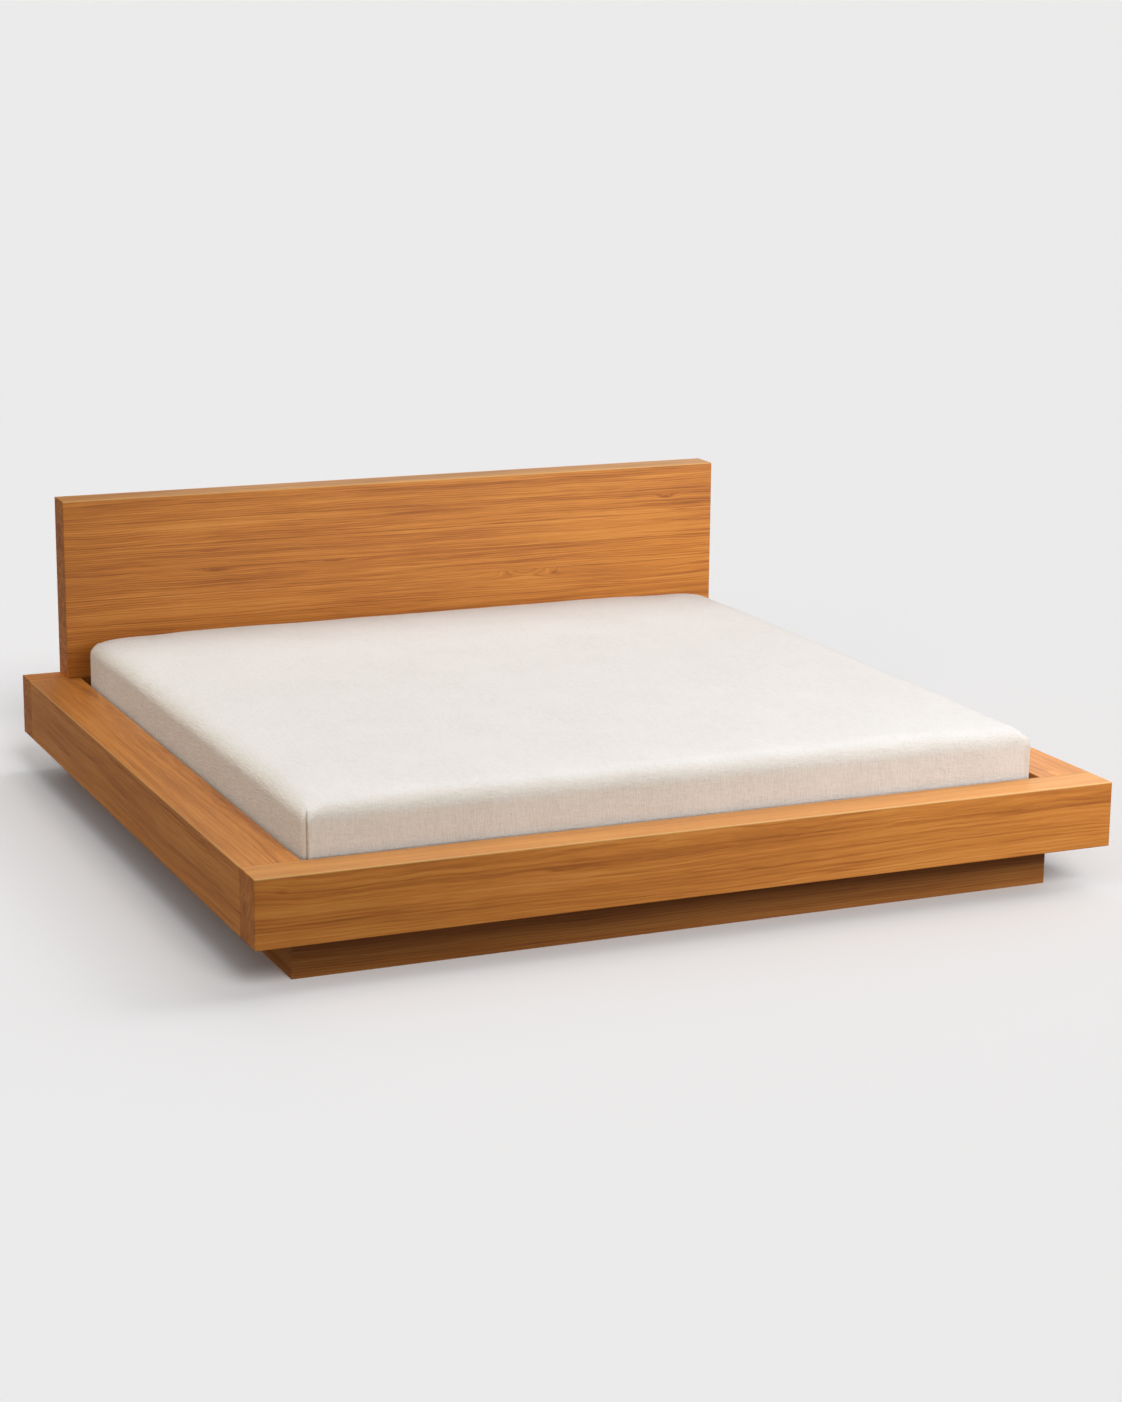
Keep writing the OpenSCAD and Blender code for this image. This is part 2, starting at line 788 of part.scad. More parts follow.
// Upright corner of the mattress, rounded in plan and at its top and bottom edges
module mattress_corner() {
    r = mattress_edge_r;
    plan_r = mattress_corner_r;
    rotate_extrude($fn = 32) intersection() {
        square([plan_r, mattress_t]);
        union() {
            translate([0, r]) square([plan_r, mattress_t - 2 * r]);
            square([plan_r - r, mattress_t]);
            translate([plan_r - r, r]) circle(r, $fn = 24);
            translate([plan_r - r, mattress_t - r]) circle(r, $fn = 24);
        }
    }
}

// Mattress with a low crown, flat in the middle of its top
module mattress() {
    flat_w = mattress_w / 3;
    flat_l = mattress_l / 3;
    x = mattress_w / 2 - mattress_corner_r;
    y = mattress_l / 2 - mattress_corner_r;
    mid_y = foot_y + foot_space + mattress_l / 2;
    color(ticking) translate([0, mid_y, slat_top + soft_fit]) hull() {
        for (sx = [-x, x], sy = [-y, y]) {
            translate([sx, sy, 0]) mattress_corner();
        }
        translate([-flat_w / 2, -flat_l / 2, mattress_t]) cube([flat_w, flat_l, mattress_crown]);
    }
}

foot_rail();
back_rail();
side_rail_outer(LEFT);  // side_rail_left_outer
side_rail_inner(LEFT);  // side_rail_left_inner
side_rail_outer(RIGHT);  // side_rail_right_outer
side_rail_inner(RIGHT);  // side_rail_right_inner
headboard_plank(0);  // headboard_plank_1
headboard_plank(1);  // headboard_plank_2
headboard_plank(2);  // headboard_plank_3
headboard_plank(3);  // headboard_plank_4
headboard_plank(4);  // headboard_plank_5
headboard_plank(5);  // headboard_plank_6
headboard_plank(6);  // headboard_plank_7
plinth_front();
plinth_back();
plinth_side(LEFT);  // plinth_left
plinth_side(RIGHT);  // plinth_right
glue_block(LEFT, FOOT);  // glue_block_foot_left
glue_block(RIGHT, FOOT);  // glue_block_foot_right
glue_block(LEFT, HEAD);  // glue_block_head_left
glue_block(RIGHT, HEAD);  // glue_block_head_right
cross_bearer(1);  // cross_bearer_foot
cross_bearer(2);  // cross_bearer_head
centre_beam();
head_cleat();
slat_ledger(LEFT);  // slat_ledger_left
slat_ledger(RIGHT);  // slat_ledger_right
slat(1);  // slat_01
slat(2);  // slat_02
slat(3);  // slat_03
slat(4);  // slat_04
slat(5);  // slat_05
slat(6);  // slat_06
slat(7);  // slat_07
slat(8);  // slat_08
slat(9);  // slat_09
slat(10);  // slat_10
slat(11);  // slat_11
slat(12);  // slat_12
slat(13);  // slat_13
slat(14);  // slat_14
slat_tape(LEFT);  // slat_tape_left
slat_tape(RIGHT);  // slat_tape_right
corner_bracket(LEFT, FOOT);  // corner_bracket_foot_left
corner_bracket(RIGHT, FOOT);  // corner_bracket_foot_right
corner_bracket(LEFT, HEAD);  // corner_bracket_head_left
corner_bracket(RIGHT, HEAD);  // corner_bracket_head_right
bracket_bolts();
threaded_inserts();
rail_dowels();
headboard_bolts();
headboard_washers();
barrel_nuts();
barrel_nut_plugs();
headboard_dowels();
mending_plates();
plate_screws();
wood_screws();
mattress();
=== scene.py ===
"""Looks of a low platform bed: oiled solid wood, a slatted base and a padded mattress.

Metres, in the row frame: +Z is up, +Y runs from the foot to the head, and the origin is on
the floor under the middle of the bed. The frame's solids are shown as they are, each with its
own wood or metal. The mattress is a cloth form made here, which stands for the plain solid.
"""

import math
import random

import bpy
import numpy as np
from mathutils import Matrix, Vector, noise


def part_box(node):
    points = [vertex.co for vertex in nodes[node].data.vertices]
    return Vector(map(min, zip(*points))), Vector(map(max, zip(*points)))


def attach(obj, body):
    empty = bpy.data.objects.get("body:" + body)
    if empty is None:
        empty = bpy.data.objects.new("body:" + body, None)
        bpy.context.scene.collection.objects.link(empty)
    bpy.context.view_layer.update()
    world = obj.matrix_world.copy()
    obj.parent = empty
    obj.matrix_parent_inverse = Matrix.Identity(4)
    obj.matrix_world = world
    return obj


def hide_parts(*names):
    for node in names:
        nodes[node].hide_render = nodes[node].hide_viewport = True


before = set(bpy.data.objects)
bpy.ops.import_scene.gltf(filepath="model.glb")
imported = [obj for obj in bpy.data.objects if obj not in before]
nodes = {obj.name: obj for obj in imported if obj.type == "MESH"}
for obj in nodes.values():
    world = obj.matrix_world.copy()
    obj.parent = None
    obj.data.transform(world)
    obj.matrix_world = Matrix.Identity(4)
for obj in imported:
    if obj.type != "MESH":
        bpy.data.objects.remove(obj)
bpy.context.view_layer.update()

X, Y, Z = 0, 1, 2


# ---------------------------------------------------------------- shader graphs

class Graph:
    """A material's node tree. Each input takes a number, a colour or another node's output."""

    def __init__(self, name):
        self.material = bpy.data.materials.new(name)
        self.material.use_nodes = True
        self.tree = self.material.node_tree
        self.tree.nodes.clear()

    def node(self, kind, inputs=(), **settings):
        """New node. inputs are fed to its sockets, and settings are set on the node itself."""
        made = self.tree.nodes.new(kind)
        for key, value in settings.items():
            setattr(made, key, value)
        for key, value in dict(inputs).items():
            self.feed(made.inputs[key], value)
        return made

    def feed(self, socket, value):
        """Links a node's output to the socket, or sets the socket to a plain value."""
        if isinstance(value, bpy.types.NodeSocket):
            self.tree.links.new(value, socket)
        else:
            socket.default_value = value

    def calc(self, operation, a, b=0.0):
        return self.node("ShaderNodeMath", {0: a, 1: b}, operation=operation).outputs[0]

    def add(self, *terms):
        total = terms[0]
        for term in terms[1:]:
            total = self.calc("ADD", total, term)
        return total

    def times(self, a, b):
        return self.calc("MULTIPLY", a, b)

    def minus(self, a, b):
        return self.calc("SUBTRACT", a, b)

    def smooth(self, value, low, high):
        """0 at low, 1 at high, held beyond them and smooth between. low may be the greater."""
        made = self.node("ShaderNodeMapRange", {0: value, 1: low, 2: high, 3: 0.0, 4: 1.0},
                         interpolation_type="SMOOTHSTEP")
        return made.outputs[0]

    def span(self, value, low, high, to_low, to_high):
        """Straight from to_low at low to to_high at high, and held beyond them."""
        made = self.node("ShaderNodeMapRange", {0: value, 1: low, 2: high, 3: to_low, 4: to_high})
        return made.outputs[0]

    def vector(self, x, y, z):
        return self.node("ShaderNodeCombineXYZ", {0: x, 1: y, 2: z}).outputs[0]

    def parts(self, vector):
        return self.node("ShaderNodeSeparateXYZ", {0: vector}).outputs

    def noise(self, vector, scale=1.0, detail=2.0, roughness=0.5):
        """Smooth 3D noise, about -0.5 to 0.5."""
        made = self.node("ShaderNodeTexNoise", {"Vector": vector, "Scale": scale,
                                                "Detail": detail, "Roughness": roughness})
        return self.minus(made.outputs[0], 0.5)

    def ramp(self, value, stops):
        """Colour of a value from 0 to 1. Each stop is (value, colour)."""
        made = self.node("ShaderNodeValToRGB", {0: value})
        elements = made.color_ramp.elements
        while len(elements) < len(stops):
            elements.new(0.5)
        for element, (place, colour) in zip(elements, stops):
            element.position = place
            element.color = (*colour, 1.0)
        return made.outputs[0]

    def mix(self, share, a, b):
        """Colour a, with colour b in its place by the share given."""
        made = self.node("ShaderNodeMix", data_type="RGBA")
        self.feed(made.inputs["Factor"], share)
        self.feed(made.inputs[6], a)
        self.feed(made.inputs[7], b)
        return made.outputs[2]

    def bump(self, height, depth):
        """Bump of a height from 0 to 1, depth in metres."""
        inputs = {"Height": height, "Distance": depth, "Strength": 1.0}
        return self.node("ShaderNodeBump", inputs).outputs[0]

    def surface(self, **inputs):
        """Ends the graph in one shader, whose sockets are named with _ for a space."""
        named = {key.replace("_", " "): value for key, value in inputs.items()}
        shader = self.node("ShaderNodeBsdfPrincipled", named)
        self.node("ShaderNodeOutputMaterial", {"Surface": shader.outputs[0]})
        return self.material


# ---------------------------------------------------------------- wood

# wood from its darkest figure to its palest: oiled; oiled and darkened with painted shade, for the
# plinth in the rails' shade; and bare
OILED = ((0.0, (0.183, 0.047, 0.006)), (0.34, (0.394, 0.120, 0.017)),
         (0.62, (0.577, 0.204, 0.033)), (1.0, (0.731, 0.322, 0.076)))
OILED_PAINTED_SHADE = ((0.0, (0.134, 0.035, 0.005)), (0.34, (0.288, 0.089, 0.015)),
          (0.62, (0.423, 0.150, 0.028)), (1.0, (0.548, 0.238, 0.058)))
PLANED = ((0.0, (0.400, 0.230, 0.100)), (0.34, (0.580, 0.385, 0.190)),
          (0.62, (0.700, 0.510, 0.290)), (1.0, (0.790, 0.620, 0.400)))

# the headboard is a little warmer than the rails
WARMER = tuple((place, (r, g, 0.85 * b)) for place, (r, g, b) in OILED)

# pale colour for edges that have lost their oil, also used for the painted sheen on the tops and
# the painted highlight along the edges
PALE_WEAR_AND_SHEEN = (0.715, 0.430, 0.148, 1.0)

# plain wood's place on its colours, which run from 0 to 1, and how far each figure moves it
PLAIN_WOOD = 0.60
LATE_WOOD = -0.20
BANDS = 0.42
STREAKS = 0.62
DASHES = 0.34
FIBRES = 0.40
PATCHES = 0.30
VEINS = -0.13
PORES = -0.08
KNOTS = -0.24
END_GRAIN = -0.14
GLUE_LINE = -0.30

# an edge is painted pale, a painted highlight along it as well as oil lost to wear, up to the first
# distance from its corner, and not past the second
PALE_EDGE_TO = 0.0022
PALE_EDGE_NOT_PAST = 0.0048

# a glue line is dark up to the first distance from it, and not past the second
GLUED_TO = 0.0002
GLUED_NOT_PAST = 0.0013

# how far a face's normal leans to an axis before it starts to count, and before it counts in full
FACING = (0.7, 0.95)

# depth of the pores and fibres
GRAIN_DEPTH = 0.00022


def wood(name, low, high, grain, colours, seed, depth, ring=0.0058, tilt=60.0, tone=0.0,
         eyes=(), contrast=1.0, roughness=0.42, glue_lines=(), rubbed=(), rub=0.62, paled=0.0):
    """One board's own wood, cut from a log whose rings are worked out in space.

    low and high are the board's corners, and grain is its long axis. The pith lies depth away
    from the board's middle, tilt degrees up from the level, and each year adds a ring. tone
    makes the whole board paler, and contrast its figure stronger. Each eye is (place along,
    place up, size): there the rings swell round a small knot. Each glue line is (axis, place):
    there the board meets its neighbour, in a thin dark line. Each pale edge is two such
    places: there the wood is painted paler by the share rub, a painted highlight along the
    edge as well as oil lost to wear. paled is how much paler the faces that look up are
    painted: a painted sheen of the light that falls on the tops.
    """
    g = Graph(name)
    cross = [axis for axis in (X, Y, Z) if axis != grain]
    place = g.node("ShaderNodeTexCoord").outputs["Object"]
    xyz = g.parts(place)
    middle = [(low[axis] + high[axis]) / 2 for axis in (X, Y, Z)]
    dice = random.Random(seed)
    shift = [dice.uniform(-40, 40) for _ in range(3)]
    along, across, upward = xyz[grain], xyz[cross[0]], xyz[cross[1]]

    def in_space(along_scale, cross_scale, step=0.0):
        """A place in space. Scales are waves in a metre, and step leads to another pattern."""
        return g.vector(g.add(g.times(along, along_scale), shift[0] + step),
                        g.add(g.times(across, cross_scale), shift[1]),
                        g.add(g.times(upward, cross_scale), shift[2]))

    # the log isn't straight: it wanders slowly, and its fibres waver
    wander = g.times(g.noise(in_space(0.8, 3.0)), 0.040)
    waver = g.times(g.noise(in_space(2.6, 8.0, 7.0), detail=3.0), 0.013)
    ripple = g.times(g.noise(in_space(9.0, 40.0, 13.0)), 0.0022)
    pith = (middle[cross[0]] + depth * math.cos(math.radians(tilt)),
            middle[cross[1]] + depth * math.sin(math.radians(tilt)))
    out_1 = g.minus(across, pith[0])
    out_2 = g.minus(upward, pith[1])
    radius = g.calc("SQRT", g.add(g.times(out_1, out_1), g.times(out_2, out_2)))
    radius = g.add(radius, wander, waver, ripple)
    knots = 0.0
    for eye_along, eye_up, size in eyes:
        off_along = g.times(g.minus(along, eye_along), 1 / (5.0 * size))
        off_up = g.times(g.minus(upward, eye_up), 1 / size)
        off = g.add(g.times(off_along, off_along), g.times(off_up, off_up))
        radius = g.add(radius, g.times(g.calc("EXPONENT", g.times(off, -1.0)), 1.5 * size))
        knots = g.add(knots, g.times(g.calc("EXPONENT", g.times(off, -4.0)), KNOTS))
    turns = g.times(radius, 1 / ring)
    around = g.calc("ARCTAN2", out_2, out_1)

    def in_log(along_scale, ring_scale, step=0.0):
        """A place in the log in the same way, so that what is drawn there runs with the rings."""
        return g.vector(g.add(g.times(along, along_scale), shift[1] + step),
                        g.add(g.times(radius, ring_scale), shift[2]),
                        g.times(around, 6.0))

    # each year ends in a thin darker line, and good and bad years make broader bands
    year = g.calc("FRACT", turns)
    late = g.times(g.smooth(year, 0.30, 0.90), g.minus(1.0, g.smooth(year, 0.92, 1.0)))
    line_strength = g.span(g.noise(in_log(1.2, 60.0, 2.0)), -0.2, 0.2, 0.1, 1.0)
    bands = g.noise(in_log(0.5, 26.0, 4.0))
    streaks = g.noise(in_log(1.4, 95.0, 6.0), detail=4.0, roughness=0.62)
    dashes = g.noise(in_log(3.4, 190.0, 8.0), detail=3.0, roughness=0.6)
    fibres = g.noise(in_log(11.0, 620.0, 10.0), roughness=0.6)
    patches = g.noise(in_space(2.2, 7.0, 9.0))
    veins = g.smooth(g.calc("ABSOLUTE", g.noise(in_log(0.5, 60.0, 12.0), detail=1.0)), 0.020, 0.002)
    pores = g.smooth(g.noise(in_log(42.0, 1500.0, 17.0)), 0.10, 0.24)

    light = g.add(PLAIN_WOOD + tone, knots,
                  g.times(g.times(late, line_strength), LATE_WOOD * contrast),
                  g.times(bands, BANDS * contrast),
                  g.times(streaks, STREAKS * contrast),
                  g.times(dashes, DASHES * contrast),
                  g.times(fibres, FIBRES * contrast),
                  g.times(patches, PATCHES * contrast),
                  g.times(veins, VEINS * contrast),
                  g.times(pores, PORES * contrast))

    # end grain drinks more oil, so it is darker; faces that look up are painted paler, a painted
    # sheen of the light on the tops; and pale edges are a painted highlight as well as oil lost to
    # wear
    facing = g.parts(g.node("ShaderNodeNewGeometry").outputs["True Normal"])
    end_grain = g.smooth(g.calc("ABSOLUTE", facing[grain]), *FACING)
    light = g.add(light, g.times(end_grain, END_GRAIN))
    wear_and_sheen = g.times(g.smooth(facing[Z], *FACING), paled)
    # each listed edge is painted paler: a painted highlight along it, as well as oil lost to wear
    for (axis_1, where_1), (axis_2, where_2) in rubbed:
        off = g.calc("MAXIMUM", g.calc("ABSOLUTE", g.minus(xyz[axis_1], where_1)),
                     g.calc("ABSOLUTE", g.minus(xyz[axis_2], where_2)))
        wear_and_sheen = g.calc("MAXIMUM", wear_and_sheen, g.times(g.smooth(off, PALE_EDGE_NOT_PAST, PALE_EDGE_TO), rub))
    for axis, where in glue_lines:
        gap = g.calc("ABSOLUTE", g.minus(xyz[axis], where))
        light = g.add(light, g.times(g.smooth(gap, GLUED_NOT_PAST, GLUED_TO), GLUE_LINE))

    colour = g.mix(wear_and_sheen, g.ramp(light, colours), PALE_WEAR_AND_SHEEN)
    gloss = g.span(g.add(fibres, streaks), -0.4, 0.4, roughness + 0.08, roughness - 0.06)
    height = g.add(g.times(pores, -0.5), g.times(fibres, 0.5), g.times(late, -0.15))
    return g.surface(Base_Color=colour, Roughness=gloss, Normal=g.bump(height, GRAIN_DEPTH),
                     Specular_IOR_Level=0.32)


def put(material, *names):
    """Gives each CAD node named that material."""
    for name in names:
        for slot in nodes[name].material_slots:
            slot.material = material


def wood_on(name, grain, colours, seed, **settings):
    """Gives a CAD node wood of its own, cut to its size."""
    low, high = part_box(name)
    put(wood("wood_" + name, low, high, grain, colours, seed, **settings), name)


foot_low, foot_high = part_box("foot_rail")
back_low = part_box("back_rail")[0]
foot_joint = (Y, foot_high.y)
back_joint = (Y, back_low.y)

# the foot rail's top is painted paler, a painted sheen, and its front top edge takes a painted
# highlight as well as wear
wood_on("foot_rail", X, OILED, 11, tilt=38, depth=0.21, glue_lines=[foot_joint],
        paled=0.22, rubbed=[((Z, foot_high.z), (Y, foot_low.y))])
wood_on("back_rail", X, OILED, 12, tilt=75, depth=0.24, glue_lines=[back_joint])
for side, first_seed in (("left", 22), ("right", 32)):
    seam = (X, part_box(f"side_rail_{side}_inner")[0 if side == "left" else 1].x)
    staves = (("outer", 55, 0.03), ("inner", 85, -0.02))
    for seed, (stave, tilt, tone) in enumerate(staves, start=first_seed):
        low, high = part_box(f"side_rail_{side}_{stave}")
        outside = (X, low.x if side == "left" else high.x)
        # the side rails' tops are painted a little paler, a painted sheen, and their outer top
        # edges take a painted highlight as well as wear
        wood_on(f"side_rail_{side}_{stave}", Y, OILED, seed, tilt=tilt, depth=0.22, tone=tone,
                glue_lines=[seam, foot_joint, back_joint], paled=0.05, rub=0.42,
                rubbed=[((Z, high.z), outside)] if stave == "outer" else ())

plank_looks = (
    dict(tilt=84, depth=0.30, tone=-0.03),
    dict(tilt=-80, depth=0.26, tone=0.01),
    dict(tilt=62, depth=0.20, tone=0.03, eyes=[(0.41, 0.520, 0.020)]),
    dict(tilt=-70, depth=0.22, tone=-0.04, eyes=[(-0.587, 0.584, 0.011), (-0.22, 0.588, 0.016)]),
    dict(tilt=80, depth=0.28, tone=0.02),
    dict(tilt=-62, depth=0.19, tone=0.00, eyes=[(0.889, 0.716, 0.007)]),
    dict(tilt=72, depth=0.24, tone=0.02),
)
for number, looks in enumerate(plank_looks, start=1):
    name = f"headboard_plank_{number}"
    low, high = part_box(name)
    joints = [(Z, low.z)]
    if number < len(plank_looks):
        joints.append((Z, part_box(f"headboard_plank_{number + 1}")[0].z))
    # the planks' upward faces are painted paler, a painted sheen, and the top plank's front top
    # edge takes a painted highlight as well as wear
    top_edge = [((Z, high.z), (Y, low.y))] if number == len(plank_looks) else ()
    wood_on(name, X, WARMER, 40 + number, glue_lines=joints, rubbed=top_edge, paled=0.2,
            contrast=1.2, **looks)

# the plinth's wood is darkened with painted shade, the shade under the rails
for name, grain, seed in (("plinth_front", X, 61), ("plinth_back", X, 62),
                          ("plinth_left", Y, 63), ("plinth_right", Y, 64)):
    wood_on(name, grain, OILED_PAINTED_SHADE, seed, tilt=40, depth=0.14)

# inside, the wood is planed and left bare
slat_names = sorted(name for name in nodes if name.startswith("slat_") and name[5:].isdigit())
for number, name in enumerate(slat_names):
    wood_on(name, X, PLANED, 70 + number, tilt=80 - 12 * (number % 4), depth=0.05, ring=0.0045,
            contrast=0.8, roughness=0.6, tone=0.04 * math.sin(number * 2.1))
for name, grain, seed in (("slat_ledger_left", Y, 91), ("slat_ledger_right", Y, 92),
                          ("centre_beam", Y, 93), ("head_cleat", X, 94),
                          ("cross_bearer_foot", X, 95), ("cross_bearer_head", X, 96)):
    wood_on(name, grain, PLANED, seed, depth=0.06, ring=0.0045, contrast=0.8, roughness=0.6)
for number, name in enumerate(("glue_block_foot_left", "glue_block_foot_right",
                               "glue_block_head_left", "glue_block_head_right")):
    wood_on(name, Z, PLANED, 100 + number, depth=0.05, ring=0.0045, contrast=0.8, roughness=0.6)
for number, (name, grain) in enumerate((("rail_dowels", Y), ("headboard_dowels", Z))):
    wood_on(name, grain, PLANED, 110 + number, depth=0.04, ring=0.0040, roughness=0.6)
wood_on("barrel_nut_plugs", X, OILED, 120, depth=0.15)


# ---------------------------------------------------------------- metals and webbing

PEEL_DEPTH = 0.0002
TURNING_DEPTH = 0.00004


def powder_coat():
    """Black powder coat with its fine orange-peel skin."""
    g = Graph("black_powder_coat")
    place = g.node("ShaderNodeTexCoord").outputs["Object"]
    peel = g.noise(place, 900.0)
    cloud = g.noise(place, 22.0)
    colour = g.ramp(g.add(cloud, 0.5),
                    ((0.3, (0.018, 0.018, 0.019)), (0.7, (0.030, 0.030, 0.031))))
    return g.surface(Base_Color=colour, Roughness=g.span(cloud, -0.3, 0.3, 0.42, 0.55),
                     Normal=g.bump(peel, PEEL_DEPTH), Specular_IOR_Level=0.5)


def plated(name, dark, light, roughness):
    """Plated steel or brass with faint turning marks and cloudy plating."""
    g = Graph(name)
    place = g.node("ShaderNodeTexCoord").outputs["Object"]
    marks = g.noise(place, 1400.0, detail=1.0)
    cloud = g.noise(place, 60.0, detail=3.0)
    colour = g.ramp(g.add(cloud, 0.5), ((0.3, dark), (0.7, light)))
    gloss = g.span(g.add(cloud, g.times(marks, 0.5)), -0.4, 0.4,
                   roughness - 0.08, roughness + 0.12)
    return g.surface(Base_Color=colour, Metallic=1.0, Roughness=gloss,
                     Normal=g.bump(marks, TURNING_DEPTH))


# from one rib or strand to the next, and how high they stand
TAPE_RIB = 0.0024
TAPE_STRAND = 0.0030
TAPE_DEPTH = 0.0004


def webbing():
    """Woven tape, ribbed across, with its strands side by side."""
    g = Graph("tape_webbing")
    xyz = g.parts(g.node("ShaderNodeTexCoord").outputs["Object"])
    rib = g.calc("SINE", g.times(xyz[Y], 2 * math.pi / TAPE_RIB))
    strand = g.calc("SINE", g.times(xyz[X], 2 * math.pi / TAPE_STRAND))
    weave = g.add(g.times(rib, strand), g.times(rib, 0.6))
    slub = g.noise(g.vector(g.times(xyz[X], 300.0), g.times(xyz[Y], 40.0), 0.0), detail=3.0)
    colour = g.ramp(g.add(g.times(weave, 0.12), g.times(slub, 0.6), 0.55),
                    ((0.2, (0.50, 0.47, 0.41)), (0.8, (0.78, 0.75, 0.68))))
    return g.surface(Base_Color=colour, Roughness=0.85, Normal=g.bump(weave, TAPE_DEPTH),
                     Specular_IOR_Level=0.2, Sheen_Weight=0.2)


black_steel = powder_coat()
zinc = plated("bright_zinc", (0.50, 0.51, 0.52), (0.68, 0.69, 0.70), 0.32)
yellow_zinc = plated("yellow_zinc", (0.52, 0.38, 0.13), (0.72, 0.56, 0.24), 0.34)
put(black_steel, "mending_plates", *[name for name in nodes if name.startswith("corner_bracket")])
put(zinc, "bracket_bolts", "headboard_bolts", "headboard_washers", "barrel_nuts", "plate_screws",
    "wood_screws")
put(yellow_zinc, "threaded_inserts")
put(webbing(), "slat_tape_left", "slat_tape_right")


# ---------------------------------------------------------------- mattress

# the cover stands this far past the plain mattress: to the left and foot, to the right and head
FULLER_LOW = (0.010, 0.001)
FULLER_HIGH = (0.008, 0.008)

# radius of the upright corners in plan, at the foot and at the head
CORNER = 0.028
BACK_CORNER = 0.046

# the roll over the top's edge, how far in and how far down, and the tight one at the underside
ROLL_IN = 0.062
ROLL_DOWN = 0.044
UNDERSIDE_ROLL = 0.026
CROWN = 0.007

# steps between the cover's grid lines: the closest, at the ends, how many of them, the widest
PLAN_STEPS = (0.0045, 12, 0.046)
HEIGHT_STEPS = (0.0075, 6, 0.016)

# the swell: what is held still above the underside, how far a point may go, and the room above
HELD_TO = 0.012
SWELL = 0.005
ROOM_ABOVE = 0.002
AIR_PRESSURE = 4.0
CLOTH_FRAMES = 20

# slow waves over the whole cover, each as (waves in a metre, height)
WAVES = ((4.5, 0.0013), (11.0, 0.0006))

# the underside starts this far above the plain mattress's, and never ends nearer to it
START_CLEAR = 0.0004
CLEAR = 0.0002

# a corner's seam starts to hook over at a height above the underside, and ends the rise later
HOOK_FROM = 0.150
HOOK_RISE = 0.050
HOOK = 0.014

# it fades out below its top, drifts a little off its corner, and reaches this far round it
SEAM_TOP = 0.204
SEAM_FADE = 0.010
SEAM_DRIFT = 0.002
SEAM_REACH = 0.06

# what runs along a seam, each as (place beside it, width, height), and the ear that ends it
GROOVE = (0.0, 0.0030, -0.0070)
FOLD = (0.0105, 0.0070, 0.0075)
PULL = (-0.006, 0.018, -0.0022)
EAR = (-0.003, 0.011, 0.0075)
EAR_UPWARD = (0.202, 0.010, 1.0)
BACK_SEAM_STRENGTH = 0.30

# depth of the weave
WEAVE_DEPTH = 0.0021


def linen():
    """Off-white cover in a plain slubby weave, with threads along the bed's three axes."""
    g = Graph("mattress_linen")
    place = g.node("ShaderNodeTexCoord").outputs["Object"]
    xyz = g.parts(place)
    normal = g.parts(g.node("ShaderNodeNewGeometry").outputs["Normal"])

    def threads(axis, step, stretch):
        """Threads along an axis, a step apart and stretched, on the faces that hold it."""
        scale = [1 / step] * 3
        scale[axis] = 1 / (stretch * step)
        line = g.noise(g.vector(*[g.times(xyz[i], scale[i]) for i in (X, Y, Z)]), roughness=0.6)
        lies = g.minus(1.0, g.times(normal[axis], normal[axis]))
        return g.times(line, lies)

    upward = g.smooth(normal[Z], 0.60, 0.99)
    fine = g.add(threads(Y, 0.0032, 9), g.times(threads(X, 0.0028, 9), 0.7), threads(Z, 0.0030, 9))
    slubs = g.add(threads(Y, 0.0085, 5), g.times(threads(X, 0.0075, 5), 0.7),
                  g.times(threads(Z, 0.0080, 5), 0.8))
    nap = g.noise(place, 210.0, detail=3.0)
    cloud = g.noise(place, 5.0, detail=3.0)
    weave = g.add(g.times(fine, 0.9), g.times(slubs, 0.6), g.times(nap, 0.7))
    level = g.add(0.5, g.times(weave, g.span(upward, 0.0, 1.0, 0.50, 0.42)), g.times(cloud, 0.25))
    # the sides and the rolls over the edges are painted darker and warmer than the top: painted
    # shade, and a painted warm bounce of light from the wood
    side = g.ramp(level, ((0.15, (0.595, 0.525, 0.436)), (0.5, (0.735, 0.675, 0.588)),
                          (0.85, (0.818, 0.777, 0.700))))
    top = g.ramp(level, ((0.15, (0.650, 0.605, 0.549)), (0.5, (0.756, 0.720, 0.675)),
                         (0.85, (0.808, 0.780, 0.739))))
    colour = g.mix(upward, side, top)
    return g.surface(Base_Color=colour, Roughness=0.92, Specular_IOR_Level=0.15,
                     Sheen_Weight=0.25, Sheen_Roughness=0.45,
                     Normal=g.bump(weave, WEAVE_DEPTH))


def steps_across(half, fine, fine_count, coarse):
    """Places from -half to half, close together at the ends and wider in the middle."""
    growth = 1.25
    gaps = [fine] * fine_count
    while gaps[-1] < coarse and sum(gaps) < half:
        gaps.append(gaps[-1] * growth)
    count = max(1, round((half - sum(gaps)) / coarse))
    gaps += [(half - sum(gaps)) / count] * count
    out = half - np.cumsum([0.0] + gaps)
    return np.concatenate([-out[:-1], out[::-1]])


def box_of_quads(places):
    """Closed box whose faces are grids through the places given for each axis."""
    index = {}
    corners = []
    faces = []

    def vertex(key):
        if key not in index:
            index[key] = len(corners)
            corners.append([places[axis][key[axis]] for axis in (X, Y, Z)])
        return index[key]

    for axis in (X, Y, Z):
        a, b = (axis + 1) % 3, (axis + 2) % 3
        for end in (0, len(places[axis]) - 1):
            for i in range(len(places[a]) - 1):
                for j in range(len(places[b]) - 1):
                    key = [0, 0, 0]
                    key[axis] = end
                    quad = []
                    for step_a, step_b in ((0, 0), (1, 0), (1, 1), (0, 1)):
                        key[a], key[b] = i + step_a, j + step_b
                        quad.append(vertex(tuple(key)))
                    faces.append(quad if end else quad[::-1])
    return np.array(corners), faces


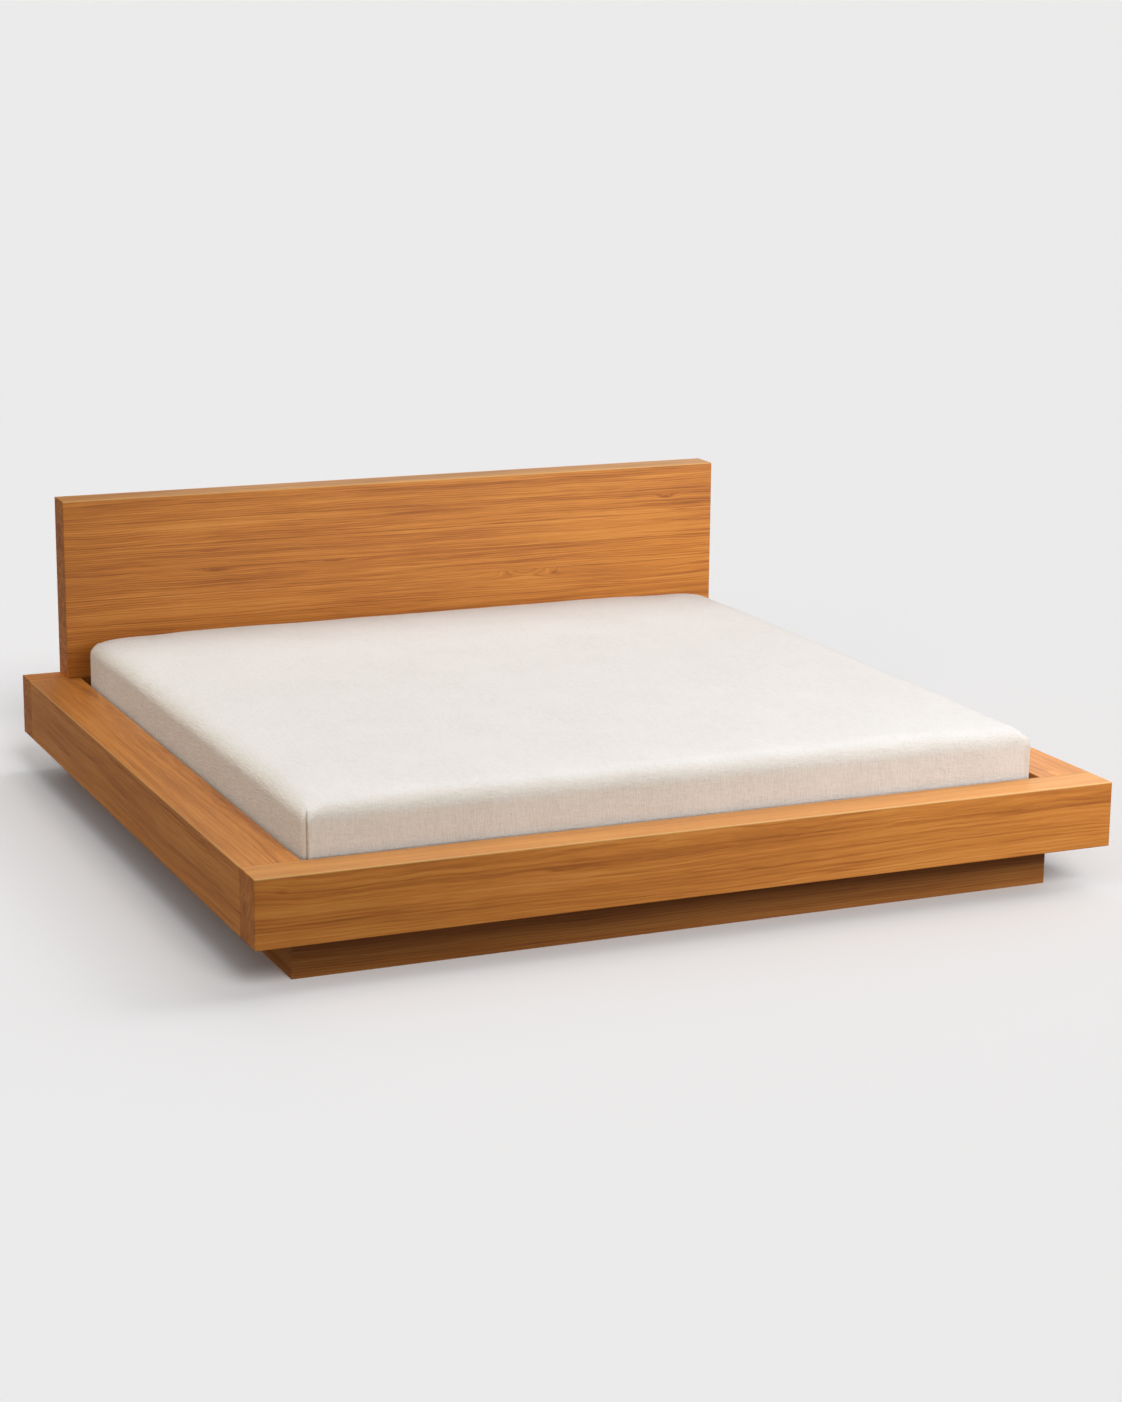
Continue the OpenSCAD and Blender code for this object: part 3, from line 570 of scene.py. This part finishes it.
def soften(points, half):
    """Rounds a box into a mattress: a wide soft roll above, a tight one below, and a low crown."""
    reach = np.abs(points[:, :2])
    roll_in = np.where(points[:, Z] > 0, ROLL_IN, UNDERSIDE_ROLL)
    roll_down = np.where(points[:, Z] > 0, ROLL_DOWN, UNDERSIDE_ROLL)

    # how far round its edge a point is: level 1 is the side, level 0 the flat top or underside
    over = np.max(reach - (half[:2] - roll_in[:, None]), axis=1)
    out = np.clip(over / roll_in, 0, 1)
    up = np.clip((np.abs(points[:, Z]) - (half[Z] - roll_down)) / roll_down, 0, 1)
    size = np.maximum(np.hypot(out, up), 1e-9)
    rolls = (out > 0) & (up > 0)
    out_to = np.where(rolls, out / size, out)
    up_to = np.where(rolls, up / size, up)

    # each level is a rectangle with round corners, rounder the further up the roll
    inner = half[:2] - roll_in[:, None]
    level = np.max(reach / inner, axis=1)
    on_flat = over <= 0
    old = np.where(on_flat[:, None], inner * level[:, None], inner + (out * roll_in)[:, None])
    new = np.where(on_flat[:, None], old, inner + (out_to * roll_in)[:, None])
    tight = np.where(points[:, Y] > 0, BACK_CORNER, CORNER)
    corner = (tight + 0.7 * roll_in * (1 - out_to)) * np.where(on_flat, level, 1.0)
    plan = points[:, :2] * new / np.maximum(old, 1e-9)
    core_size = np.maximum(new - corner[:, None], 0)
    core = np.clip(plan, -core_size, core_size)
    rest = plan - core
    length = np.linalg.norm(rest, axis=1, keepdims=True)
    plan = np.where(length > 1e-9, core + rest / np.maximum(length, 1e-9) * corner[:, None], plan)

    height = np.sign(points[:, Z]) * (half[Z] - roll_down * (1 - up_to))
    height = np.where(up > 0, height, points[:, Z])
    bulge = np.clip(1 - (plan / half[:2]) ** 2, 0, 1)
    height += CROWN * np.sqrt(bulge[:, 0] * bulge[:, 1]) * np.clip(height / half[Z], 0, 1)
    return np.column_stack([plan, height])


def mesh_points(mesh):
    flat = np.empty(len(mesh.vertices) * 3)
    mesh.vertices.foreach_get("co", flat)
    return flat.reshape(-1, 3)


def move_points(mesh, points):
    mesh.vertices.foreach_set("co", points.ravel())
    mesh.update()


def mesh_normals(mesh):
    flat = np.empty(len(mesh.vertices) * 3)
    mesh.vertices.foreach_get("normal", flat)
    return flat.reshape(-1, 3)


def apply_modifiers(obj):
    bpy.context.view_layer.update()
    seen = obj.evaluated_get(bpy.context.evaluated_depsgraph_get())
    made = bpy.data.meshes.new_from_object(seen)
    old = obj.data
    obj.modifiers.clear()
    obj.data = made
    bpy.data.meshes.remove(old)


def inflate(obj, held, cap):
    """Lets air pressure round the cover as cloth, with the vertices in held kept in place.

    No point ends up more than cap away from where it was.
    """
    before = mesh_points(obj.data)
    group = obj.vertex_groups.new(name="held")
    group.add([int(i) for i in held], 1.0, "REPLACE")
    cloth = obj.modifiers.new("Cloth", "CLOTH")
    settings = cloth.settings
    settings.quality = 6
    settings.mass = 0.3
    settings.tension_stiffness = 15
    settings.compression_stiffness = 15
    settings.shear_stiffness = 5
    settings.bending_stiffness = 0.5
    settings.use_pressure = True
    settings.uniform_pressure_force = AIR_PRESSURE
    settings.vertex_group_mass = "held"
    settings.effector_weights.gravity = 0.0
    cloth.collision_settings.use_collision = False
    cloth.point_cache.frame_start = 1
    cloth.point_cache.frame_end = CLOTH_FRAMES
    scene = bpy.context.scene
    for step in range(1, CLOTH_FRAMES + 1):
        scene.frame_set(step)
    apply_modifiers(obj)
    scene.frame_set(1)
    obj.vertex_groups.clear()
    moved = mesh_points(obj.data) - before
    far = np.maximum(np.linalg.norm(moved, axis=1, keepdims=True), 1e-9)
    move_points(obj.data, before + moved / far * cap * (1 - np.exp(-far / cap)))


def ridge(distance, place, width, height):
    """Bell-shaped ridge at a place, or a groove where its height is below 0."""
    return height * np.exp(-((distance - place) / width) ** 2)


def corner_darts(points, normals, middle, half):
    """The cover's four upright corner seams, each with the fold that stands beside it.

    Each seam climbs the middle of its corner and hooks over towards the bed's side at the top.
    At the foot, where it shows, the fold is at full strength and ends in a small ear.
    """
    height = points[:, Z] - (middle[Z] - half[Z])
    for side_x in (-1, 1):
        for side_y in (-1, 1):
            bend = CORNER if side_y < 0 else BACK_CORNER
            u = side_x * (points[:, X] - middle[X]) - (half[X] - bend)
            w = side_y * (points[:, Y] - middle[Y]) - (half[Y] - bend)
            angle = np.arctan2(np.maximum(w, 0), np.maximum(u, 1e-9))
            round_it = bend * (angle - math.pi / 4) + np.minimum(w, 0) - np.minimum(u, 0)
            # the seam keeps to its own corner, and to the cloth's outside there
            near = (u > -SEAM_REACH) & (w > -SEAM_REACH) & (np.maximum(u, w) > 0.25 * bend)
            hook = HOOK * np.clip((height - HOOK_FROM) / HOOK_RISE, 0, 1) ** 2
            beside = round_it + SEAM_DRIFT * math.sin(3 * side_x + 5 * side_y) + hook
            fades = np.clip((SEAM_TOP - height) / SEAM_FADE, 0, 1) * near
            seam = ridge(beside, *GROOVE) + ridge(beside, *FOLD) + ridge(beside, *PULL)
            ear = ridge(beside, *EAR) * ridge(height, *EAR_UPWARD) * near * (side_y < 0)
            strength = 1.0 if side_y < 0 else BACK_SEAM_STRENGTH
            points = points + normals * (seam * fades * strength + ear)[:, None]
    return points


def mattress_cover():
    """The mattress's cloth form, which stands for the plain solid."""
    low, high = (np.array(corner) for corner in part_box("mattress"))
    low[:2] -= FULLER_LOW
    high[:2] += FULLER_HIGH
    middle = (low + high) / 2
    half = (high - low) / 2

    # the box as it is cut, before it swells and takes its crown
    start = half.copy()
    start[Z] -= CROWN / 2 + ROOM_ABOVE
    centre = np.array((middle[X], middle[Y], low[Z] + START_CLEAR + start[Z]))
    places = (steps_across(start[X], *PLAN_STEPS), steps_across(start[Y], *PLAN_STEPS),
              steps_across(start[Z], *HEIGHT_STEPS))
    corners, faces = box_of_quads(places)
    mesh = bpy.data.meshes.new("mattress_cover")
    mesh.from_pydata((soften(corners, start) + centre).tolist(), [], faces)
    obj = bpy.data.objects.new("mattress_cover", mesh)
    bpy.context.scene.collection.objects.link(obj)

    points = mesh_points(mesh)
    underside = np.flatnonzero(points[:, Z] < low[Z] + HELD_TO)
    inflate(obj, underside, SWELL)
    smoothing = obj.modifiers.new("Smooth", "SUBSURF")
    smoothing.levels = 1
    apply_modifiers(obj)

    mesh = obj.data
    points = corner_darts(mesh_points(mesh), mesh_normals(mesh), middle, half)
    waves = np.array([sum(noise.noise(Vector(p) * scale) * height for scale, height in WAVES)
                      for p in points])
    points = points + mesh_normals(mesh) * waves[:, None]
    points[:, Z] = np.maximum(points[:, Z], low[Z] + CLEAR)
    move_points(mesh, points)
    for polygon in mesh.polygons:
        polygon.use_smooth = True
    mesh.materials.append(linen())
    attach(obj, "mattress")
    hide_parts("mattress")


mattress_cover()


# ---------------------------------------------------------------- floor, light and camera

FLOOR_REACH = 900.0

# the sky and the floor as the camera sees them, and as the bed is lit by them
SKY_SEEN = (0.838, 0.831, 0.831, 1.0)
SKY_FILL = (1.0, 0.99, 0.985, 1.0)
FLOOR_SEEN = (0.80, 0.793, 0.793, 1.0)
FLOOR_FILL = (0.22, 0.21, 0.20, 1.0)


def floor():
    """Pale studio floor, which sends back less light than it shows the camera."""
    mesh = bpy.data.meshes.new("studio_floor")
    mesh.from_pydata([(-FLOOR_REACH, -FLOOR_REACH, 0), (FLOOR_REACH, -FLOOR_REACH, 0),
                      (FLOOR_REACH, FLOOR_REACH, 0), (-FLOOR_REACH, FLOOR_REACH, 0)], [],
                     [(0, 1, 2, 3)])
    g = Graph("studio_floor_paint")
    seen = g.node("ShaderNodeLightPath").outputs["Is Camera Ray"]
    mesh.materials.append(g.surface(Base_Color=g.mix(seen, FLOOR_FILL, FLOOR_SEEN), Roughness=1.0,
                                    Specular_IOR_Level=0.0))
    made = bpy.data.objects.new("studio_floor", mesh)
    bpy.context.scene.collection.objects.link(made)


def sky(light_level):
    """Even pale world: the camera sees the floor's own tone, and the bed gets a softer fill."""
    world = bpy.data.worlds.new("studio")
    bpy.context.scene.world = world
    world.use_nodes = True
    tree = world.node_tree
    tree.nodes.clear()
    seen = tree.nodes.new("ShaderNodeBackground")
    seen.inputs[0].default_value = SKY_SEEN
    fill = tree.nodes.new("ShaderNodeBackground")
    fill.inputs[0].default_value = SKY_FILL
    fill.inputs[1].default_value = light_level
    path = tree.nodes.new("ShaderNodeLightPath")
    mix = tree.nodes.new("ShaderNodeMixShader")
    out = tree.nodes.new("ShaderNodeOutputWorld")
    tree.links.new(path.outputs["Is Camera Ray"], mix.inputs[0])
    tree.links.new(fill.outputs[0], mix.inputs[1])
    tree.links.new(seen.outputs[0], mix.inputs[2])
    tree.links.new(mix.outputs[0], out.inputs[0])


def shine_on(lamp, pieces):
    """Keeps a lamp to the pieces named, as a studio flags its lamps."""
    group = bpy.data.collections.new("lit_by_" + lamp.name)
    bpy.context.scene.collection.children.link(group)
    for piece in pieces:
        group.objects.link(piece)
    lamp.light_linking.receiver_collection = group


def sun(name, toward, strength, spread_degrees, pieces, colour=(1.0, 1.0, 1.0)):
    """Far softbox that shines from the direction toward."""
    lamp = bpy.data.lights.new(name, "SUN")
    lamp.energy = strength
    lamp.angle = math.radians(spread_degrees)
    lamp.color = colour
    made = bpy.data.objects.new(name, lamp)
    made.rotation_mode = "QUATERNION"
    made.rotation_quaternion = Vector(toward).to_track_quat("Z", "Y")
    bpy.context.scene.collection.objects.link(made)
    shine_on(made, pieces)


def panel(name, place, aim, size, watts, pieces, colour=(1.0, 1.0, 1.0)):
    """Square softbox at a place, turned to an aim."""
    lamp = bpy.data.lights.new(name, "AREA")
    lamp.size = size
    lamp.energy = watts
    lamp.color = colour
    made = bpy.data.objects.new(name, lamp)
    made.location = place
    made.rotation_mode = "QUATERNION"
    made.rotation_quaternion = (Vector(place) - Vector(aim)).to_track_quat("Z", "Y")
    bpy.context.scene.collection.objects.link(made)
    shine_on(made, pieces)


def studio_lights():
    """Large soft lamps. Floor, timber, headboard and linen have their own, linked to them."""
    ground = [bpy.data.objects["studio_floor"]]
    linens = [bpy.data.objects["mattress_cover"]]
    timber = [piece for piece in bpy.data.objects
              if piece.type == "MESH" and piece not in ground + linens]
    headboard = [piece for piece in timber if piece.name.startswith("headboard_plank")]
    sky(0.05)
    sun("floor_front", (0, -0.788, 0.616), 2.00, 25, ground)
    sun("floor_front_left", (-0.557, -0.557, 0.616), 1.13, 70, ground)
    sun("floor_back_right", (0.557, 0.557, 0.616), 0.84, 70, ground)
    sun("floor_right", (0.788, 0, 0.616), 0.50, 25, ground)
    sun("floor_high_right", (0.5, 0, 0.866), 0.32, 40, ground)
    sun("floor_overhead", (0.2, -0.2, 0.96), 0.11, 40, ground)
    sun("timber_above_back", (0, 0.42, 0.91), 1.55, 50, timber, (1.0, 0.97, 0.88))
    sun("timber_left", (-0.8, -0.2, 0.6), 1.05, 60, timber, (1.0, 0.98, 0.92))
    sun("timber_front_left", (-0.45, -0.75, 0.5), 0.20, 40, timber)
    panel("timber_front_right", (2.0, -3.0, 1.6), (0.9, -0.6, 0.3), 1.2, 67, timber,
          (0.94, 1.0, 1.13))
    panel("timber_front", (0.2, -2.8, 2.4), (0, -0.6, 0.3), 1.2, 22, timber)
    panel("timber_right", (2.4, -0.4, 1.4), (0.9, 1.0, 0.6), 1.0, 27, timber, (0.92, 1.0, 1.18))
    panel("timber_sheen", (3.2, 7.2, 2.8), (0, 0, 0.4), 4.5, 50, timber, (1.0, 0.94, 0.80))
    panel("timber_sheen_right", (6.2, 7.0, 2.9), (0.5, 0, 0.4), 3.5, 65, timber, (1.0, 0.94, 0.80))
    sun("headboard_front", (0.2, -0.95, 0.25), 0.11, 60, headboard, (1.0, 0.97, 0.8))
    sun("linen_above_back", (0, 0.41, 0.912), 2.66, 60, linens, (1.0, 1.0, 1.02))
    sun("linen_left", (-0.8, -0.2, 0.6), 1.04, 60, linens, (1.0, 0.96, 0.89))
    sun("linen_front", (0, -1.0, 0.03), 1.94, 40, linens, (1.0, 1.0, 1.01))
    panel("linen_front_right", (2.0, -3.0, 1.6), (0.9, -0.6, 0.3), 1.2, 40, linens,
          (0.95, 1.0, 1.14))


def camera(azimuth, elevation, roll, lens, aim, distance):
    """Camera that looks at aim from azimuth and elevation in degrees, turned by roll."""
    a, e, r = (math.radians(x) for x in (azimuth, elevation, roll))
    back = Vector((math.sin(a) * math.cos(e), -math.cos(a) * math.cos(e), math.sin(e)))
    right = Vector((math.cos(a), math.sin(a), 0.0))
    up = back.cross(right)
    turned_right = right * math.cos(r) + up * math.sin(r)
    turned_up = up * math.cos(r) - right * math.sin(r)
    data = bpy.data.cameras.new("camera")
    data.lens = lens
    data.clip_end = 4 * FLOOR_REACH
    made = bpy.data.objects.new("camera", data)
    turn = Matrix((turned_right, turned_up, back)).transposed()
    made.matrix_world = Matrix.Translation(Vector(aim) + back * distance) @ turn.to_4x4()
    bpy.context.scene.collection.objects.link(made)
    bpy.context.scene.camera = made


floor()
studio_lights()
camera(azimuth=-23.65, elevation=13.56, roll=0.51, lens=75.9, aim=(-0.1868, -0.6277, 0.5153),
       distance=7.5)
bpy.context.scene.view_settings.view_transform = "Standard"
